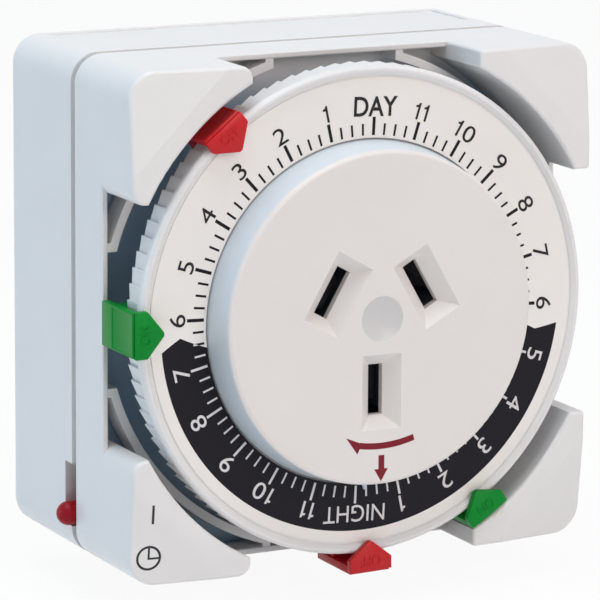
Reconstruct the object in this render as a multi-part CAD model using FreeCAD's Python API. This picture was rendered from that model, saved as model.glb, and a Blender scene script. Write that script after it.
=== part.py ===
import FreeCAD, Part
import math
import os

# Plug in 24 hour timer switch.
# Millimetres. X is to the right seen from the front, Z is up, and the front faces -Y.
# The origin is the centre of the plug pin pattern on the flat rear face.
# Depths are measured forward from that rear face, so a depth d lies at y = -d.

# Dial: it turns round the dome, and the size across it sets the case round it
dial_ring_width = 11.3        # from the dome's bearing face to the dial's edge
knurl_count = 96              # one tooth for each quarter hour
knurl_height = 0.4
dial_web = 1.7
dial_height = 4.2             # from the back of the skirt to the label
dial_skirt_wall = 1.6
dial_hub_wall = 0.98
dial_bore_clearance = 0.08
dial_floor_clearance = 0.4
dial_shoulder_clearance = 0.3
knurl_drop = 0.8              # the knurled band ends this far behind the label
label_thickness = 0.2
label_dome_gap = 0.25
bead_width = 1.4
bead_rise = 0.45
bead_ridge = 0.3              # width of the ridge along the top of the bead
dial_turn = 2.9               # degrees the dial has turned clockwise from noon at the top

# Case
case_margin = 1.1             # from the dial's edge to the flat side of the case
case_corner = 4.0             # radius of the long corner edges
rear_edge_round = 1.2
rear_wall = 2.0               # thickness of the wall face
rear_side_wall = 2.0
front_side_wall = 1.4
seam_depth = 20.9             # front edge of the rear shell
seam_gap = 1.4                # open shadow groove between the two shells
lip_thickness = 1.0
lip_clearance = 0.1
lip_height = 3.1              # how far the locating lip stands past the seam
lip_root = 2.5                # how far the lip is rooted behind the seam
floor_reach = 4.3             # from the back of the front shell to the recess floor
floor_thickness = 1.6
recess_depth = 4.6            # from the recess floor to the edge of the perimeter wall
gap_wall = 0.9                # the perimeter wall is thinner in front of the recess floor
rim_round = 0.25
dial_lift = 5.2               # from the edge of the perimeter wall to the dial's skirt
panel_margin = 4.6            # the shallow bare panel on top ends this far from each side
panel_start = 2.8
panel_length = 10.8
panel_relief = 0.2

# Corner towers
tower_rise = 0.6              # the tower tips stand this far in front of the label
tower_tip = 2.4865            # width of a tower where it ends beside a finger gap
tower_gap = 1.6               # from a tappet pushed home to the hollowed face round the dial
tower_drop = 1.6              # how far the front face falls back at the outer corner
crease_offset = 2.6           # from the line between the tips to where the fall begins
tower_wall = 1.6
tower_edge_round = 0.5
tip_round_left = 1.9
tip_round_right = 0.5

# Guard rib that fences the dial under each tower, as far as the finger gaps
rib_gap = 0.2                 # from the dial's edge to the inner face of the rib
rib_thickness = 1.2
rib_drop = 0.1                # how far the rib stays below the edge of the perimeter wall
rib_start_angle = 16.0

# Socket dome
dome_bearing_radius = 23.2
dome_step = 0.95              # how far the dome's foot covers the dial's inner edge
dome_taper = 0.75
dome_rise = 5.3               # the dome's face stands this far in front of the label
dome_wall = 1.9
dome_face_wall = 3.0
dome_edge_round = 0.6
dome_foot_sink = 0.4
dimple_width = 6.5
dimple_sink = 0.7
index_width = 1.2
index_reach = 1.15
index_lift = 0.15
index_thickness = 0.5

# Outlet and plug geometry, flat blades of the national pattern
live_pin_radius = 7.92        # active and neutral, from the centre
earth_pin_radius = 10.31
live_pin_angle = 60.0         # each side of straight up
blade_width = 6.35
blade_thickness = 1.6
live_pin_length = 17.1
earth_pin_length = 20.0
blade_nose_length = 1.6
blade_nose_taper = 2.0
blade_nose_thinning = 0.7
sleeve_length = 8.6
sleeve_thickness = 0.45
sleeve_clearance = 0.02
slot_length = 7.2
slot_width = 2.2
mouth_length = 10.6
mouth_width = 6.1
mouth_sink = 2.0

# Pin roots and current straps
pin_flange = 1.0
flange_margin = 0.6
tang_reach = 5.0              # how far a pin's tang stands in front of its flange
tang_width = 5.0
base_radius = 14.5
base_thickness = 5.0
base_ring = 1.2
base_clearance = 0.15
base_ring_height = 3.0
strap_thickness = 0.8
strap_width = 4.0
strap_floor_gap = 2.4         # from a strap's foot to the back of the recess floor
strap_lift = 1.2              # from the pin base to the straps that cross it
foot_half = 1.8

# Socket contacts
contact_thickness = 0.6
contact_width = 5.0
contact_grip = 0.05           # play on each side of a blade
contact_sink = 6.4            # from the dome's face to the mouth of a contact
contact_lead_in = 1.3
contact_flare = 0.75

# Contact carrier
carrier_radius = 14.2
carrier_flange_gap = 0.4
carrier_end_gap = 0.3
flange_thickness = 1.6
pocket_length = 8.0
pocket_width = 5.4

# Dome screws
dome_boss_margin = 4.0        # from the dome's inner wall to each boss centre
dome_boss_radius = 2.4
dome_screw_radius = 1.3
dome_screw_length = 14.0
screw_clearance = 0.06
screw_head_radius = 2.3
screw_head_height = 1.5

# Tappets
tappet_half_width = 3.3
tappet_point = 2.6            # how far the point of the head reaches past its shoulders
tappet_shoulder = 1.8         # from the base of the head to its shoulders
tappet_lap = 0.3              # the side plate stands this far outside the head
tappet_plate = 1.15
tappet_knurl_clearance = 0.25
tappet_head_clearance = 0.1
tappet_head_thickness = 0.95
tappet_back_clearance = 1.4
tappet_leg_reach = 2.1        # how far the leg hooks in behind the dial's edge
tappet_leg_clearance = 0.3
tappet_groove = 0.5
tappet_side_step = 0.2
right_tappet_outside = 1.1    # how far it is pulled out from its home seat
bottom_tappet_outside = 1.3

# Gear train
ring_teeth = 120
idler_hub_gap = 0.29          # from the idler's pinion to the dial's hub
pinion_teeth = 10
wheel_teeth = 36
wheel_module = 0.4
output_teeth = 10
pressure_angle = 20.0
tooth_play = 0.09             # taken off each flank
ring_gear_height = 2.5
idler_bore_clearance = 0.05
idler_axle_radius = 0.75
idler_web_gap = 0.5           # from the front of the idler to the dial's web
wheel_lift = 0.4
wheel_thickness = 1.6
floor_gear_clearance = 0.35

# Motor
boss_radius = 3.3
motor_boss_gap = 1.89         # from the motor can to the case boss behind it
motor_base_gap = 0.3          # from the motor can to the pin base
motor_height = 10.0
motor_wall = 0.6
coil_clearance = 0.3
coil_height = 5.8
coil_rotor_gap = 1.0
rotor_radius = 5.6
rotor_pin_radius = 0.6
rotor_back_gap = 0.6
rotor_front_gap = 2.8
rotor_pin_end = 0.6
plate_thickness = 1.2
plate_neck_radius = 3.2
collar_height = 2.6
collar_radius = 1.8
bush_radius = 2.2
bush_height = 2.0
bush_step = 0.65
output_shaft_radius = 0.8
output_shaft_sink = 1.4
shaft_clearance = 0.04
output_pinion_lift = 0.4
output_pinion_length = 2.4
ear_margin = 3.1
ear_radius = 2.6
motor_screw_radius = 1.0
motor_head_radius = 1.8
motor_head_height = 1.4
lead_radius = 0.6

# Case screws
boss_margin = 5.2             # from the side of the case to each boss centre
boss_shift = 2.4              # the lower left boss stands aside for the override slide
front_boss_radius = 2.4
boss_gap = 0.2
case_screw_radius = 1.25
case_head_radius = 2.4
case_head_height = 1.6
case_screw_sink = 8.9         # from the seam back to the ledge that takes the screw's head
case_screw_bite = 13.1        # how far a case screw runs in front of the seam
head_clearance = 0.2

# Override slide
override_sink = 0.45          # from the seam back to the nub's centre
override_margin = 6.1         # from the case's underside up to the nub at rest
override_travel = 5.35
override_nub_radius = 1.7
override_nub_reach = 2.1
override_plate = 0.8
override_clearance = 0.1
override_slot_play = 0.15
override_arm = 1.2
override_arm_lift = 0.25
override_arm_overlap = 1.1

# Trip lever and switch
lever_x = 4.0
lever_margin = 9.6            # from the case's underside up to the lever's pivot
lever_seam_gap = 1.3
lever_thickness = 1.6
lever_hub_radius = 2.6
lever_arm_half = 1.3
lever_pin_radius = 1.0
lever_pin_root = 6.0
lever_swing = 10.5            # degrees from off to on
tail_margin = 11.6            # from the left side of the case to the end of the lever's tail
tail_rise = 2.0
follower_angle = 197.0
follower_inset = 3.5          # from the dial's edge in to the follower post
follower_radius = 0.9
follower_dial_gap = 0.8
follower_slot_play = 0.4
nose_length = 8.0
pusher_offset = 6.0
pusher_rise = 2.8
pusher_radius = 0.9
pusher_leaf_lap = 3.5
detent_gap = 0.2
detent_thickness = 0.3
leaf_margin = 15.6            # from the left side of the case to the root of the leaf
leaf_rise = 4.0               # from the lever's pivot up to the leaf
leaf_overhang = 1.2           # the leaf runs on this far past the contact tips
leaf_thickness = 0.3
leaf_lift = 1.0               # from the pin base to the back edge of the leaf
leaf_width = 4.0
contact_tip_radius = 1.3
contact_tip_height = 0.6
contact_tip_x = 4.0
contact_gap = 1.55            # open air between the two contact tips
riser_x = -9.0
feed_elbow_x = -16.0
feed_elbow_z = -5.0
feed_turn_z = -12.0
feed_half_width = 1.5

# Worked out from the sizes above
dial_rim_radius = dome_bearing_radius + dial_ring_width
case_half = dial_rim_radius + case_margin
front_start = seam_depth + seam_gap
floor_depth = front_start + floor_reach
floor_back = floor_depth - floor_thickness
rim_depth = floor_depth + recess_depth
dial_back_depth = rim_depth + dial_lift
dial_face_depth = dial_back_depth + dial_height
tower_depth = dial_face_depth + tower_rise
face_depth = dial_face_depth + dome_rise
ceiling_depth = face_depth - dome_face_wall
shoulder_depth = dial_face_depth - dome_foot_sink
web_back = dial_face_depth - dial_web
lip_outer = case_half - front_side_wall - lip_clearance
lip_inner = lip_outer - lip_thickness
lip_front = seam_depth + lip_height
case_ledge_depth = seam_depth - case_screw_sink
case_screw_end = seam_depth + case_screw_bite
skirt_outer = dial_rim_radius - knurl_height
skirt_inner = dial_rim_radius - dial_skirt_wall
dome_base_radius = dome_bearing_radius + dome_step
dome_face_radius = dome_base_radius - dome_taper
dome_inner_radius = dome_bearing_radius - dome_wall
label_inner = dome_base_radius + label_dome_gap
label_outer = dial_rim_radius - bead_width - 0.3
rib_inner = dial_rim_radius + rib_gap
tappet_outer = dial_rim_radius + tappet_knurl_clearance + tappet_plate
tappet_base = tappet_outer - tappet_lap
tower_arc = tappet_outer + tower_gap
tower_start = math.sqrt(tower_arc ** 2 - (case_half - tower_tip) ** 2)
tower_reach = case_half - tower_start
crease_place = (case_half + tower_start) / math.sqrt(2.0) + crease_offset
tower_slope = tower_drop / (tower_reach / math.sqrt(2.0) - crease_offset)
boss_place = case_half - boss_margin
motor_radius = (boss_place * math.sqrt(2.0) - boss_radius - base_radius - motor_boss_gap - motor_base_gap) / 2.0
motor_circle = base_radius + motor_base_gap + motor_radius
motor_offset = motor_circle / math.sqrt(2.0)
motor_front = rear_wall + motor_height
plate_front = motor_front + plate_thickness
output_pinion_back = plate_front + bush_height + output_pinion_lift
wheel_back = output_pinion_back + wheel_lift
rotor_start = rear_wall + motor_wall + rotor_back_gap
rotor_end = motor_front - rotor_front_gap
hub_outer = dome_bearing_radius + dial_bore_clearance + dial_hub_wall
ring_module = (hub_outer + idler_hub_gap) / (ring_teeth / 2.0 - pinion_teeth - 0.9)
ring_gear_back = web_back - ring_gear_height
idler_circle = ring_module * (ring_teeth - pinion_teeth) / 2.0
train_distance = wheel_module * (wheel_teeth + output_teeth) / 2.0
idler_swing = math.degrees(math.acos(
    (idler_circle ** 2 + motor_circle ** 2 - train_distance ** 2) / (2.0 * idler_circle * motor_circle)))
idler_angle = 45.0 + idler_swing
idler_x = idler_circle * math.sin(math.radians(idler_angle))
idler_z = idler_circle * math.cos(math.radians(idler_angle))
idler_front = web_back - idler_web_gap
pinion_tip_radius = ring_module * (pinion_teeth / 2.0 + 0.9)
base_depth = rear_wall + base_thickness
base_ring_depth = rear_wall + base_ring_height
tang_depth = rear_wall + pin_flange + tang_reach
foot_depth = floor_back - strap_floor_gap
strap_top = foot_depth + strap_thickness
feed_back = base_depth + strap_lift
feed_front = feed_back + strap_thickness
contact_mouth = face_depth - contact_sink
contact_straight = contact_mouth - contact_lead_in
override_centre_depth = seam_depth - override_sink
override_rest = override_margin - case_half
lever_back = seam_depth - lever_seam_gap
lever_front = lever_back + lever_thickness
lever_z = lever_margin - case_half
tail_x = tail_margin - case_half
tail_z = lever_z + tail_rise
nose_x = lever_x + nose_length
pusher_x = lever_x - pusher_offset
pusher_z = lever_z + pusher_rise
override_arm_top = lever_z + override_arm_lift
override_arm_end = tail_x + override_arm_overlap
follower_place = dial_rim_radius - follower_inset
follower_x = follower_place * math.sin(math.radians(follower_angle))
follower_z = follower_place * math.cos(math.radians(follower_angle))
follower_tip = dial_back_depth - follower_dial_gap
leaf_pivot_x = leaf_margin - case_half
leaf_z = lever_z + leaf_rise
leaf_back = base_depth + leaf_lift
leaf_front = leaf_back + leaf_width
leaf_end_x = contact_tip_x + leaf_overhang
fixed_strap_z = leaf_z + leaf_thickness / 2.0 + 2.0 * contact_tip_height + contact_gap
case_corners = [(-1, -1), (-1, 1), (1, -1), (1, 1)]

# name, angle clockwise from the top, and how far it sits outside its home seat
tappets = [
    ("tappet_on_left", -90.0, 0.0),
    ("tappet_off_top", -39.3, 0.0),
    ("tappet_on_right", 147.3, right_tappet_outside),
    ("tappet_off_bottom", 178.9, bottom_tappet_outside),
]


# Small helpers. Each takes positions across the front (x, z) and depths forward.

def spot(x, z, depth):
    return FreeCAD.Vector(x, -depth, z)


def rod(x, z, radius, back, front):
    return Part.makeCylinder(radius, front - back, spot(x, z, back), FreeCAD.Vector(0, -1, 0))


def tube(x, z, inner, outer, back, front):
    return rod(x, z, outer, back, front).cut(rod(x, z, inner, back - 1.0, front + 1.0))


def block(x0, x1, z0, z1, back, front):
    return Part.makeBox(x1 - x0, front - back, z1 - z0, spot(x0, z0, front))


def prism(points, back, front):
    corners = [spot(x, z, back) for x, z in points]
    face = Part.Face(Part.makePolygon(corners + [corners[0]]))
    return face.extrude(FreeCAD.Vector(0, back - front, 0))


def turned(profile):
    corners = [FreeCAD.Vector(radius, -depth, 0) for radius, depth in profile]
    face = Part.Face(Part.makePolygon(corners + [corners[0]]))
    return face.revolve(FreeCAD.Vector(0, 0, 0), FreeCAD.Vector(0, 1, 0), 360.0)


def rounded_square(half, corner, back, front):
    body = block(-half, half, -half, half, back, front)
    return round_edges(body, corner, lambda edge: runs_forward(edge))


def runs_forward(edge):
    ends = edge.Vertexes
    if len(ends) < 2:
        return False
    across = math.hypot(ends[0].X - ends[1].X, ends[0].Z - ends[1].Z)
    return across < 0.001 and abs(ends[0].Y - ends[1].Y) > 0.1


def round_edges(shape, radius, chosen):
    edges = [edge for edge in shape.Edges if chosen(edge)]
    return shape.makeFillet(radius, edges)


def bar(x0, z0, x1, z1, half, back, front):
    """A flat bar with round ends between two places."""
    length = math.hypot(x1 - x0, z1 - z0)
    nx = -(z1 - z0) / length * half
    nz = (x1 - x0) / length * half
    corners = [(x0 + nx, z0 + nz), (x1 + nx, z1 + nz), (x1 - nx, z1 - nz), (x0 - nx, z0 - nz)]
    middle = prism(corners, back, front)
    return middle.fuse([rod(x0, z0, half, back, front), rod(x1, z1, half, back, front)]).removeSplitter()


def joined(first, others):
    return first.fuse(others).removeSplitter()


def cut_out(shape, tools):
    return shape.cut(Part.makeCompound(tools)) if tools else shape


def turn_clockwise(shape, degrees):
    """Turn about the dial axis, clockwise seen from the front."""
    turned_shape = shape.copy()
    turned_shape.rotate(FreeCAD.Vector(0, 0, 0), FreeCAD.Vector(0, 1, 0), degrees)
    return turned_shape


def polar(radius, degrees):
    """A place given by its radius and its angle clockwise from the top."""
    return radius * math.sin(math.radians(degrees)), radius * math.cos(math.radians(degrees))


class Pole:
    """One blade position: its centre, its long direction and its thin direction."""

    def __init__(self, name, radius, degrees, upright):
        self.name = name
        self.x, self.z = polar(radius, degrees)
        long_angle = 0.0 if upright else (degrees + 90.0 if degrees < 0 else degrees - 90.0)
        self.long = polar(1.0, long_angle)
        side = 1.0 if degrees >= 0 else -1.0
        self.thin = (side * self.long[1], -side * self.long[0])

    def place(self, along, across):
        x = self.x + along * self.long[0] + across * self.thin[0]
        z = self.z + along * self.long[1] + across * self.thin[1]
        return x, z

    def slab(self, half_length, across0, across1, back, front):
        corners = [self.place(-half_length, across0), self.place(half_length, across0),
                   self.place(half_length, across1), self.place(-half_length, across1)]
        return prism(corners, back, front)

    def funnel(self, length0, width0, depth0, length1, width1, depth1):
        loops = []
        for length, width, depth in ((length0, width0, depth0), (length1, width1, depth1)):
            signs = ((-1, -1), (1, -1), (1, 1), (-1, 1))
            corners = [spot(*self.place(a * length / 2.0, c * width / 2.0), depth) for a, c in signs]
            loops.append(Part.makePolygon(corners + [corners[0]]))
        return Part.makeLoft(loops, True, True)

    def profile(self, outline, half_length):
        """A section drawn as (across, depth), drawn out along the blade's long direction."""
        corners = []
        for across, depth in outline:
            x, z = self.place(-half_length, across)
            corners.append(spot(x, z, depth))
        face = Part.Face(Part.makePolygon(corners + [corners[0]]))
        run = FreeCAD.Vector(self.long[0], 0, self.long[1]) * (2.0 * half_length)
        return face.extrude(run)


poles = {
    "active": Pole("active", live_pin_radius, -live_pin_angle, False),
    "neutral": Pole("neutral", live_pin_radius, live_pin_angle, False),
    "earth": Pole("earth", earth_pin_radius, 180.0, True),
}


def boss_centres():
    for side_x, side_z in case_corners:
        x = side_x * boss_place
        z = side_z * boss_place
        if side_x < 0 and side_z < 0:
            x += boss_shift
        yield x, z


def dome_boss_centres():
    return [polar(dome_inner_radius - dome_boss_margin, degrees) for degrees in (0.0, 120.0, 240.0)]


def motor_ear_centres():
    reach = (motor_radius + ear_margin) / math.sqrt(2.0)
    return [(motor_offset - reach, motor_offset + reach), (motor_offset + reach, motor_offset - reach)]


# Case shells

def make_rear_case():
    shell = rounded_square(case_half, case_corner, 0.0, seam_depth)
    shell = round_edges(shell, rear_edge_round, lambda edge: on_back(edge))
    inner_half = case_half - rear_side_wall
    shell = shell.cut(rounded_square(inner_half, case_corner - rear_side_wall, rear_wall, seam_depth + 1.0))
    lip = rounded_square(lip_outer, case_corner - (case_half - lip_outer), seam_depth - lip_root, lip_front)
    lip = lip.cut(rounded_square(lip_inner, case_corner - rear_side_wall, seam_depth - lip_root - 1.0,
                                 lip_front + 1.0))
    additions = [lip]
    for x, z in boss_centres():
        additions.append(rod(x, z, boss_radius, 0.5, front_start - boss_gap - seam_gap))
    for x, z in motor_ear_centres():
        additions.append(rod(x, z, ear_radius - 0.2, 0.5, motor_front))
    additions.append(tube(0, 0, base_radius + base_clearance, base_radius + base_clearance + base_ring, 0.5,
                          base_ring_depth))
    additions.append(rod(lever_x, lever_z, lever_hub_radius, 0.5, lever_back - detent_gap))
    additions.append(detent_post())
    shell = joined(shell, additions)
    cuts = []
    for x, z in boss_centres():
        cuts.append(rod(x, z, case_head_radius + head_clearance, -1.0, case_ledge_depth))
        cuts.append(rod(x, z, case_screw_radius + screw_clearance, 0.0, front_start))
    for x, z in motor_ear_centres():
        cuts.append(rod(x, z, motor_screw_radius + screw_clearance, rear_wall + 1.0, motor_front + 1.0))
    cuts.append(rod(lever_x, lever_z, lever_pin_radius + screw_clearance, rear_wall + 1.0, lever_back))
    cuts.append(rod(motor_offset, motor_offset, motor_radius + boss_gap, rear_wall, base_ring_depth + 1.0))
    for pole in poles.values():
        half = blade_width / 2.0 + sleeve_thickness + 0.1
        thin = blade_thickness / 2.0 + sleeve_thickness + 0.1
        cuts.append(pole.slab(half, -thin, thin, -1.0, rear_wall + 0.5))
    slot_half = override_nub_radius + override_slot_play
    low = override_rest - slot_half
    high = override_rest + override_travel + slot_half
    cuts.append(block(-case_half - 1.0, -lip_inner + 0.5, low, high,
                      override_centre_depth - slot_half, lip_front + 1.0))
    panel_half = case_half - panel_margin
    cuts.append(block(-panel_half, panel_half, case_half - panel_relief, case_half + 1.0,
                      panel_start, panel_start + panel_length))
    return cut_out(shell, cuts)


def on_back(edge):
    return all(abs(vertex.Y) < 0.001 for vertex in edge.Vertexes)


def detent_post():
    left = lever_nose_end() + detent_gap + detent_thickness
    return block(left, left + 2.0, -case_half + 1.0, lever_z - 2.5, 0.5, lever_front + 0.2)


def lever_nose_end():
    return nose_x + lever_arm_half


def tower(inset, front, tip_round):
    """The upper right tower as a solid, or its hollow when it is drawn inset."""
    half = case_half - inset
    start = tower_start + inset
    body = rounded_square(half, case_corner - inset, floor_back, front)
    body = body.common(block(start, case_half, start, case_half, floor_back, front))
    body = body.cut(rod(0, 0, tower_arc + inset, floor_back - 1.0, front + 1.0))
    if tip_round > 0:
        tip_round = min(tip_round, 0.8 * tower_tip)
        body = round_edges(body, tip_round, lambda edge: runs_forward(edge) and at_tip(edge))
    span = 2.4 * case_half
    wedge = Part.makeBox(span, front, span, FreeCAD.Vector(-span / 2.0, -front, 0.0))
    wedge.rotate(FreeCAD.Vector(0, 0, 0), FreeCAD.Vector(1, 0, 0), -math.degrees(math.atan(tower_slope)))
    wedge.translate(FreeCAD.Vector(0, -front, crease_place))
    wedge.rotate(FreeCAD.Vector(0, 0, 0), FreeCAD.Vector(0, 1, 0), 45.0)
    return body.cut(wedge)


def at_tip(edge):
    vertex = edge.Vertexes[0]
    places = sorted((abs(vertex.X), abs(vertex.Z)))
    return abs(places[0] - tower_start) < 0.01 and abs(places[1] - case_half) < 0.01


def on_tower_front(edge):
    """An outline edge of the front face, not the crease where that face starts to fall back."""
    ends = edge.Vertexes
    crease = abs(ends[0].X - ends[-1].X) > tower_reach and abs(edge.Curve.value(edge.FirstParameter).y
                                                        - edge.Curve.value(edge.LastParameter).y) < 0.001
    crease = crease and isinstance(edge.Curve, Part.Line)
    return not crease and all(vertex.Y < -tower_depth + tower_drop + 0.6 for vertex in ends)


def mirrored(shape, side_x, side_z):
    result = shape
    if side_x < 0:
        result = result.mirror(FreeCAD.Vector(0, 0, 0), FreeCAD.Vector(1, 0, 0))
    if side_z < 0:
        result = result.mirror(FreeCAD.Vector(0, 0, 0), FreeCAD.Vector(0, 0, 1))
    return result


def guard_rib():
    """The rib of the upper right corner: an arc under the tower, with a short end at each finger gap."""
    outer = rib_inner + rib_thickness
    front = rim_depth - rib_drop
    ring = tube(0, 0, rib_inner, outer, floor_back, front)
    reach = 2.0 * case_half
    corner = polar(reach, 45.0)
    wedge = prism([(0, 0), polar(reach, rib_start_angle), corner, polar(reach, 90.0 - rib_start_angle)],
                  floor_back, front)
    near_x, near_z = polar(rib_inner, rib_start_angle)
    wall = case_half - gap_wall / 2.0
    upper = block(near_x, near_x + rib_thickness, near_z, wall, floor_back, front)
    right = block(near_z, wall, near_x, near_x + rib_thickness, floor_back, front)
    return joined(ring.common(wedge), [upper, right])


def make_front_case():
    skirt = rounded_square(case_half, case_corner, front_start, rim_depth)
    skirt = skirt.cut(rounded_square(case_half - front_side_wall, case_corner - front_side_wall,
                                     front_start - 1.0, rim_depth + 1.0))
    skirt = skirt.cut(rounded_square(case_half - gap_wall, case_corner - gap_wall, floor_depth,
                                     rim_depth + 1.0))
    skirt = round_edges(skirt, rim_round, lambda edge: on_rim(edge))
    floor = rounded_square(case_half - front_side_wall / 2.0, case_corner - front_side_wall / 2.0,
                           floor_back, floor_depth)
    additions = [floor]
    hollows = []
    for side_x, side_z in case_corners:
        tip_round = tip_round_left if side_x < 0 else tip_round_right
        solid = tower(0.0, tower_depth, tip_round)
        solid = round_edges(solid, tower_edge_round, lambda edge: on_tower_front(edge))
        hollow = tower(tower_wall, tower_depth - tower_wall, 0.0)
        additions.append(mirrored(solid, side_x, side_z))
        hollows.append(mirrored(hollow, side_x, side_z))
    rib = guard_rib()
    for quarter in range(4):
        additions.append(turn_clockwise(rib, 90.0 * quarter))
    shell = joined(skirt, additions)
    shell = cut_out(shell, hollows)
    bosses = []
    bores = []
    for x, z in boss_centres():
        past_crease = math.hypot(x, z) - crease_place
        front = tower_depth - tower_slope * past_crease - tower_wall * 0.5
        bosses.append(rod(x, z, front_boss_radius, front_start - seam_gap + boss_gap, front))
        bores.append(rod(x, z, case_screw_radius + screw_clearance, seam_depth - 1.0,
                         case_screw_end + 0.5))
    shell = joined(shell, bosses)
    cuts = bores
    cuts.append(rod(0, 0, carrier_radius, floor_back - 1.0, floor_depth + 1.0))
    cuts.append(rod(idler_x, idler_z, pinion_tip_radius + floor_gear_clearance, floor_back - 1.0,
                    floor_depth + 1.0))
    for x, z in dome_boss_centres():
        cuts.append(rod(x, z, dome_screw_radius + screw_clearance, floor_back - 1.0, floor_depth + 1.0))
    far_x, far_z = swung(follower_x, follower_z)
    cuts.append(bar(follower_x, follower_z, far_x, far_z, follower_radius + follower_slot_play,
                    floor_back - 1.0, floor_depth + 1.0))
    return cut_out(shell, cuts)


def on_rim(edge):
    return all(abs(vertex.Y + rim_depth) < 0.001 for vertex in edge.Vertexes)


def swung(x, z):
    """Where a point of the trip lever goes when the lever is on."""
    angle = math.radians(lever_swing)
    dx = x - lever_x
    dz = z - lever_z
    return (lever_x + dx * math.cos(angle) + dz * math.sin(angle),
            lever_z - dx * math.sin(angle) + dz * math.cos(angle))


# Socket dome and what stands inside it

def make_socket_dome():
    inner = dome_inner_radius
    ceiling = ceiling_depth
    profile = [(0, ceiling), (inner, ceiling), (inner, floor_depth), (dome_bearing_radius, floor_depth),
               (dome_bearing_radius, shoulder_depth), (dome_base_radius, shoulder_depth),
               (dome_face_radius, face_depth), (0, face_depth)]
    dome = turned(profile)
    dome = round_edges(dome, dome_edge_round, lambda edge: on_face_rim(edge))
    additions = []
    cuts = []
    for x, z in dome_boss_centres():
        additions.append(rod(x, z, dome_boss_radius, floor_depth + flange_thickness, ceiling + 0.2))
        cuts.append(rod(x, z, dome_screw_radius + screw_clearance, floor_depth,
                        floor_back + dome_screw_length + 0.5))
    tip = -dome_base_radius - index_reach
    index_back = dial_face_depth + index_lift
    additions.append(prism([(-index_width / 2.0, -dome_base_radius + 0.5), (index_width / 2.0,
                            -dome_base_radius + 0.5), (0, tip)], index_back, index_back + index_thickness))
    dome = joined(dome, additions)
    mouth_floor = face_depth - mouth_sink
    for pole in poles.values():
        cuts.append(pole.funnel(mouth_length, mouth_width, face_depth, slot_length, slot_width, mouth_floor))
        cuts.append(pole.slab(slot_length / 2.0, -slot_width / 2.0, slot_width / 2.0, ceiling - 1.0,
                              mouth_floor))
    ball = ((dimple_width / 2.0) ** 2 + dimple_sink ** 2) / (2.0 * dimple_sink)
    cuts.append(Part.makeSphere(ball, spot(0, 0, face_depth + ball - dimple_sink)))
    for cutter in cuts:
        dome = dome.cut(cutter)
    return dome


def on_face_rim(edge):
    vertex = edge.Vertexes[0]
    return abs(vertex.Y + face_depth) < 0.001 and math.hypot(vertex.X, vertex.Z) > 1.0


def make_contact_carrier():
    flange_front = floor_depth + flange_thickness
    front = ceiling_depth - carrier_end_gap
    body = joined(rod(0, 0, dome_inner_radius - carrier_flange_gap, floor_depth, flange_front),
                  [rod(0, 0, carrier_radius, flange_front, front)])
    cuts = []
    for pole in poles.values():
        cuts.append(pole.slab(pocket_length / 2.0, -pocket_width / 2.0, pocket_width / 2.0,
                              floor_depth - 1.0, front + 1.0))
    for x, z in dome_boss_centres():
        cuts.append(rod(x, z, dome_screw_radius + screw_clearance, floor_depth - 1.0, flange_front + 1.0))
        cuts.append(rod(x, z, dome_boss_radius + 0.3, flange_front, front + 1.0))
    return cut_out(body, cuts)


def make_contact(pole):
    base = strap_top
    inner = blade_thickness / 2.0 + contact_grip
    outer = inner + contact_thickness
    wide = contact_flare
    outline = [(-outer, base), (outer, base), (outer, contact_straight), (outer + wide, contact_mouth),
               (inner + wide, contact_mouth), (inner, contact_straight), (inner, base + contact_thickness),
               (-inner, base + contact_thickness), (-inner, contact_straight), (-inner - wide, contact_mouth),
               (-outer - wide, contact_mouth), (-outer, contact_straight)]
    return pole.profile(outline, contact_width / 2.0)


def make_pin(pole, length):
    half = blade_width / 2.0
    thin = blade_thickness / 2.0
    nose_start = blade_nose_length - length
    nose = pole.funnel(blade_width, blade_thickness, nose_start, blade_width - blade_nose_taper,
                       blade_thickness - blade_nose_thinning, -length)
    blade = pole.slab(half, -thin, thin, nose_start, rear_wall)
    flange = pole.slab(half + flange_margin, -thin - flange_margin, thin + flange_margin, rear_wall,
                       rear_wall + pin_flange)
    tang = pole.slab(tang_width / 2.0, -thin, thin, rear_wall + pin_flange, tang_depth)
    return joined(blade, [nose, flange, tang])


def make_pin_sleeves():
    sleeves = []
    for name in ("active", "neutral"):
        pole = poles[name]
        half = blade_width / 2.0 + sleeve_clearance
        thin = blade_thickness / 2.0 + sleeve_clearance
        outer = pole.slab(half + sleeve_thickness, -thin - sleeve_thickness, thin + sleeve_thickness,
                          -sleeve_length, rear_wall - 0.1)
        sleeves.append(outer.cut(pole.slab(half, -thin, thin, -sleeve_length - 1.0, rear_wall + 1.0)))
    return Part.makeCompound(sleeves)


def make_pin_base():
    seat = rear_wall + pin_flange
    body = rod(0, 0, base_radius, rear_wall, base_depth)
    cuts = []
    for pole in poles.values():
        wide = blade_thickness / 2.0 + flange_margin + 0.2
        cuts.append(pole.slab(blade_width / 2.0 + flange_margin + 0.2, -wide, wide, rear_wall - 1.0, seat))
        strap_side = blade_thickness / 2.0 + strap_thickness + 0.2
        cuts.append(pole.slab(tang_width / 2.0 + 0.3, -blade_thickness / 2.0 - 0.2, strap_side, seat - 0.1,
                              base_depth + 1.0))
    return cut_out(body, cuts)


def make_link(pole, back):
    """A strap from the pin tang straight forward to a foot under the socket contact."""
    near = blade_thickness / 2.0
    far = near + strap_thickness
    outline = [(near, back), (far, back), (far, strap_top), (-foot_half, strap_top), (-foot_half, foot_depth),
               (near, foot_depth)]
    return pole.profile(outline, strap_width / 2.0)


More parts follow.
